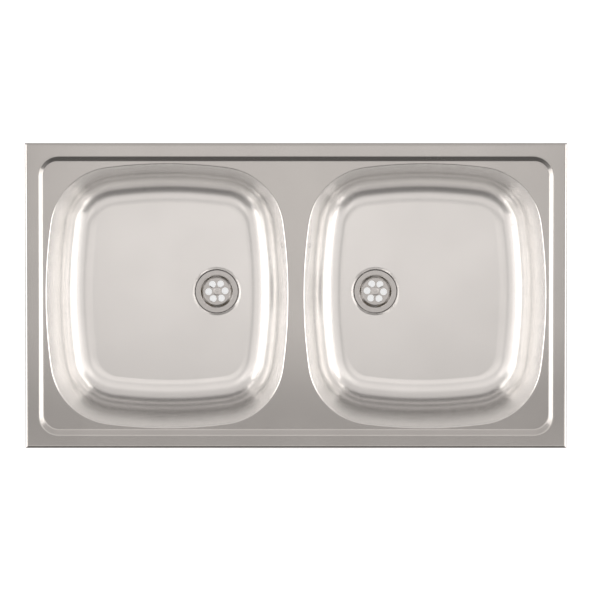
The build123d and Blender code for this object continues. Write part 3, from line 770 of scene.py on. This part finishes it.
def add_world(colour):
    """Walls for the steel to mirror: dark in front, paler to the back, bright at both sides.

    The camera sees plain white instead of them.
    """
    world = bpy.data.worlds.new("studio_walls")
    bpy.context.scene.world = world
    world.use_nodes = True
    tree = world.node_tree
    direction = add_node(tree, "ShaderNodeTexCoord").outputs["Generated"]
    split = add_node(tree, "ShaderNodeSeparateXYZ", {"Vector": direction})
    lean = add_node(tree, "ShaderNodeMapRange", {"Value": split.outputs["Y"], "From Min": -1})
    ramp = add_node(tree, "ShaderNodeValToRGB", {"Fac": lean.outputs["Result"]})
    stops = ramp.color_ramp.elements
    for y, grey in WALLS[1:-1]:
        stops.new((y + 1) / 2)
    for stop, (y, grey) in zip(stops, WALLS):
        stop.color = (*scaled(colour, grey), 1)
    sideways = worked_out(tree, "ABSOLUTE", split.outputs["X"])
    glow = add_node(tree, "ShaderNodeMapRange", {
        "Value": sideways, "From Min": SIDE_WALLS_START, "To Max": SIDE_WALLS})
    walls = add_node(tree, "ShaderNodeVectorMath", {
        0: ramp.outputs["Color"], 1: glow.outputs["Result"]}, operation="ADD")
    ray = add_node(tree, "ShaderNodeLightPath")
    seen = add_node(tree, "ShaderNodeMix", {
        "Factor": ray.outputs["Is Camera Ray"], "A": walls.outputs["Vector"], "B": WHITE},
        data_type="RGBA")
    tree.links.new(seen.outputs["Result"], tree.nodes["Background"].inputs["Color"])


def add_lamp(name, power, colour, place, size):
    """A soft rectangular lamp that faces the sink and that the camera doesn't see."""
    data = bpy.data.lights.new(name, "AREA")
    data.shape = "RECTANGLE"
    data.size, data.size_y = size
    data.energy = power
    data.color = colour
    lamp = bpy.data.objects.new(name, data)
    bpy.context.scene.collection.objects.link(lamp)
    lamp.location = place
    lamp.rotation_euler = (-Vector(place)).to_track_quat("-Z", "Y").to_euler()
    lamp.visible_camera = False


def add_lamps(stage):
    """Hangs the paired lamps, first all on the left, and then the single ones."""
    colour = tuple(stage.light_colour)
    for side, way in zip(SIDES, (-1, 1)):
        for name, (x, y, z), size in PAIRED_LAMPS:
            power = getattr(stage, f"{name}_power")
            add_lamp(f"{name}_lamp_{side}", power, colour, (way * x, y, z), size)
    for name, spot, size in SINGLE_LAMPS:
        add_lamp(f"{name}_lamp", getattr(stage, f"{name}_power"), colour, spot, size)


def add_camera(stage):
    """A camera above the sink that frames it as the settings say."""
    data = bpy.data.cameras.new("view_from_above")
    data.sensor_width = SENSOR_WIDTH
    data.lens = data.sensor_width * stage.distance / (PICTURE_SIDE * stage.pixel)
    data.clip_end = CAMERA_REACH
    camera = bpy.data.objects.new("view_from_above", data)
    bpy.context.scene.collection.objects.link(camera)
    camera.rotation_euler = (stage.tilt, 0, 0)
    back = Matrix.Rotation(stage.tilt, 3, "X") @ Vector((0, 0, 1))
    camera.location = Vector(stage.aim) + back * stage.distance
    bpy.context.scene.camera = camera


# Operators ---------------------------------------------------------------------------------------

class SINK_OT_pressed_steel(bpy.types.Operator):
    """Finish the deck and both bowls in satin stainless steel"""
    bl_idname = "sink.pressed_steel"
    bl_label = "Deck and bowls"

    def execute(self, context):
        steel = context.scene.sink.steel
        # Painted light: the bowls' colour is lighter than the deck's same steel, and the deck's
        # collars take it as a painted highlight
        bowl_colour_with_painted_light = tuple(steel.bowl_colour_with_painted_light)
        deck = pressed_steel("satin_deck_steel", tuple(steel.deck_colour), steel.deck_roughness,
                             steel.grain_width, stretch=(0.04, 1, 1))
        bowl = pressed_steel("satin_bowl_steel", bowl_colour_with_painted_light, steel.bowl_roughness,
                             steel.grain_width, stretch=(1, 1, 0.15))
        paint_collar_highlight(deck, bowl_colour_with_painted_light)
        dress("deck", deck)
        for side in SIDES:
            dress(f"bowl_{side}", bowl)
        return {"FINISHED"}


class SINK_OT_strainers(bpy.types.Operator):
    """Finish the strainers and the screws inside the bowls"""
    bl_idname = "sink.strainers"
    bl_label = "Strainers and screws"

    def execute(self, context):
        colour = tuple(context.scene.sink.steel.strainer_colour)
        strainer = bright_metal("pressed_strainer_steel", colour, roughness=0.2)
        screw = bright_metal("turned_screw_steel", SCREW_STEEL, roughness=0.12)
        for side in SIDES:
            dress(f"strainer_{side}", strainer)
            dress(f"drain_screw_{side}", screw)
        dress("overflow_screws", screw)
        return {"FINISHED"}


class SINK_OT_wastes(bpy.types.Operator):
    """Finish the wastes and cut their tails' threads, and round their seals"""
    bl_idname = "sink.wastes"
    bl_label = "Wastes and seals"

    def execute(self, context):
        colour = tuple(context.scene.sink.fittings.waste_colour)
        plastic = moulded_plastic("waste_polypropylene", colour, roughness=0.42)
        rubber = moulded_plastic("seal_rubber", SEAL_RUBBER, roughness=0.62)
        brass = bright_metal("turned_brass", TURNED_BRASS, roughness=0.25)
        for side in SIDES:
            node = f"waste_body_{side}"
            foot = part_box(node)[0].z
            top = foot + TAIL_LENGTH
            axis = middle_of(f"strainer_{side}")

            def outside(vert):
                away = math.hypot(vert.co.x - axis.x, vert.co.y - axis.y)
                return vert.co.z < top + NEAR and away > TAIL_RADIUS - TAIL_SKIN

            body = copy_of(node, f"threaded_waste_{side}")
            slim(body, axis, outside, TAIL_CORE / TAIL_RADIUS)
            ridge = screw_thread("ridge", TAIL_CORE, TAIL_RADIUS, foot + TAIL_PLAIN_END, top,
                                 TAIL_PITCH, TAIL_STEPS)
            ridge.location = (axis.x, axis.y, 0)
            place(ridge)
            fuse(body, ridge)
            smooth(body)
            hand_over(body, "sink", "waste_plastic", plastic, node)
            dress(f"threaded_insert_{side}", brass)
            for seal in ("flange_seal", "waste_gasket", "overflow_gasket"):
                softened(f"{seal}_{side}", f"rounded_{seal}_{side}", GASKET_ROUNDING,
                         "rubber_seal", rubber)
        dress("overflow_box", plastic)
        return {"FINISHED"}


class SINK_OT_overflow_hose(bpy.types.Operator):
    """Model the corrugated overflow hose and its clamps"""
    bl_idname = "sink.overflow_hose"
    bl_label = "Overflow hose"

    def execute(self, context):
        sizes = context.scene.sink.fittings
        low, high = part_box("overflow_hose")
        drain = middle_of("strainer_left")
        start = Vector((high.x - HOSE_RADIUS, high.y - HOSE_RADIUS, high.z))
        corner = Vector((start.x, start.y, low.z + HOSE_RADIUS))
        outwards = Vector((start.x - drain.x, start.y - drain.y, 0)).normalized()
        end = Vector((drain.x, drain.y, corner.z)) + outwards * HOSE_SEAT
        cut_corner = (2 - math.pi / 2) * HOSE_BEND
        length = (start - corner).length + (corner - end).length - cut_corner
        corrugated = length - 2 * HOSE_CUFF
        ribs = round(corrugated / sizes.rib_pitch)
        route = hose_route(start, corner, end)
        hose = ribbed_tube("corrugated_hose", corrugated / ribs, ribs)
        modify(hose, "CURVE", object=route)
        bpy.data.objects.remove(route)
        smooth(hose, degrees=50)
        plastic = moulded_plastic("hose_polypropylene", tuple(sizes.hose_colour), roughness=0.45)
        hand_over(hose, "sink", "hose_plastic", plastic, "overflow_hose")
        steel = bright_metal("clamp_band_steel", CLAMP_STEEL, roughness=0.25)
        clamps = (
            ("upper", start, Vector((0, 0, -1)), Vector((0, 1, 0))),
            ("lower", end, outwards, Vector((-outwards.y, outwards.x, 0))),
        )
        for name, hose_end, along, housing_way in clamps:
            clamp = worm_clamp(f"hose_clamp_{name}")
            turn = Matrix((housing_way, along.cross(housing_way), along)).transposed().to_4x4()
            shift = Matrix.Translation(hose_end + along * CLAMP_SETBACK)
            clamp.data.transform(shift @ turn)
            hand_over(clamp, "sink", "clamp_steel", steel)
            # One node holds both clamps, so the upper one alone stands for it
            if name == "upper":
                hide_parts("hose_clamps")
        return {"FINISHED"}


class SINK_OT_padding(bpy.types.Operator):
    """Model the foam seal under the rim and the damping pads under the bowls"""
    bl_idname = "sink.padding"
    bl_label = "Rim seal and damping pads"

    def execute(self, context):
        foam = cellular("rim_foam", RIM_FOAM, roughness=0.85, cell=FOAM_CELL, depth=FOAM_DEPTH)
        seal = softened("rim_seal", "foam_rim_seal", RIM_SEAL_ROUNDING, "foam_seal", foam)
        felt = cellular("damping_felt", DAMPING_FELT, roughness=0.9, cell=FELT_CELL,
                        depth=FELT_DEPTH)
        for side in SIDES:
            softened(f"damping_pad_{side}", f"damping_felt_{side}", PAD_ROUNDING,
                     "damping_sheet", felt)
        return {"FINISHED"}


class SINK_OT_clips(bpy.types.Operator):
    """Finish the clips under the rim and cut their screws' threads"""
    bl_idname = "sink.clips"
    bl_label = "Mounting clips"

    def execute(self, context):
        zinc = bright_metal("zinc_plate", ZINC_PLATE, roughness=0.3, tarnish=0.8)
        nylon = moulded_plastic("pad_nylon", PAD_NYLON, roughness=0.45)
        dress("clip_brackets", zinc)
        dress("clip_pins", zinc)
        low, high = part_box(f"clip_screw_{CLIPS[0]}")
        under_head = low.z + SCREW_HEAD
        ridge = screw_thread("ridge", SCREW_CORE, SCREW_RADIUS, under_head, high.z,
                             SCREW_PITCH, SCREW_STEPS)
        for clip in CLIPS:
            dress(f"clip_claw_{clip}", zinc)
            dress(f"clip_pad_{clip}", nylon)
            node = f"clip_screw_{clip}"
            axis = middle_of(node)

            def shank(vert):
                away = math.hypot(vert.co.x - axis.x, vert.co.y - axis.y)
                return vert.co.z > under_head - NEAR and away < SCREW_RADIUS + NEAR

            screw = copy_of(node, f"threaded_clip_screw_{clip}")
            slim(screw, axis, shank, SCREW_CORE / SCREW_RADIUS)
            thread = duplicate(ridge, "thread")
            thread.location = (axis.x, axis.y, 0)
            place(thread)
            fuse(screw, thread)
            smooth(screw)
            hand_over(screw, f"screw_{clip}", "zinc_steel", zinc, node)
        bpy.data.objects.remove(ridge)
        return {"FINISHED"}


class SINK_OT_stage(bpy.types.Operator):
    """Set the floor, the lamps and the camera"""
    bl_idname = "sink.stage"
    bl_label = "Stage"

    def execute(self, context):
        stage = context.scene.sink.stage
        add_floor(tuple(stage.floor_colour))
        add_world(tuple(stage.light_colour))
        add_lamps(stage)
        add_camera(stage)
        context.scene.view_settings.view_transform = "Standard"
        return {"FINISHED"}


OPERATORS = (
    SINK_OT_pressed_steel,
    SINK_OT_strainers,
    SINK_OT_wastes,
    SINK_OT_overflow_hose,
    SINK_OT_padding,
    SINK_OT_clips,
    SINK_OT_stage,
)


class SINK_PT_sidebar(bpy.types.Panel):
    """Lists the sink's settings and the steps that finish it"""
    bl_idname = "SINK_PT_sidebar"
    bl_label = "Double bowl sink"
    bl_space_type = "VIEW_3D"
    bl_region_type = "UI"
    bl_category = "Sink"

    def draw(self, context):
        sink = context.scene.sink
        for group in (sink.steel, sink.fittings, sink.stage):
            column = self.layout.column(align=True)
            for name in group.__annotations__:
                column.prop(group, name)
        for operator in OPERATORS:
            self.layout.operator(operator.bl_idname, text=operator.bl_label)


SETTINGS = (SteelSettings, FittingSettings, StageSettings, SinkSettings)
CLASSES = (*SETTINGS, *OPERATORS, SINK_PT_sidebar)


def register():
    for each in CLASSES:
        bpy.utils.register_class(each)
    bpy.types.Scene.sink = bpy.props.PointerProperty(type=SinkSettings)


def unregister():
    del bpy.types.Scene.sink
    for each in reversed(CLASSES):
        bpy.utils.unregister_class(each)


def main():
    register()
    bpy.ops.sink.pressed_steel()
    bpy.ops.sink.strainers()
    bpy.ops.sink.wastes()
    bpy.ops.sink.overflow_hose()
    bpy.ops.sink.padding()
    bpy.ops.sink.clips()
    bpy.ops.sink.stage()


if __name__ == "__main__":
    main()
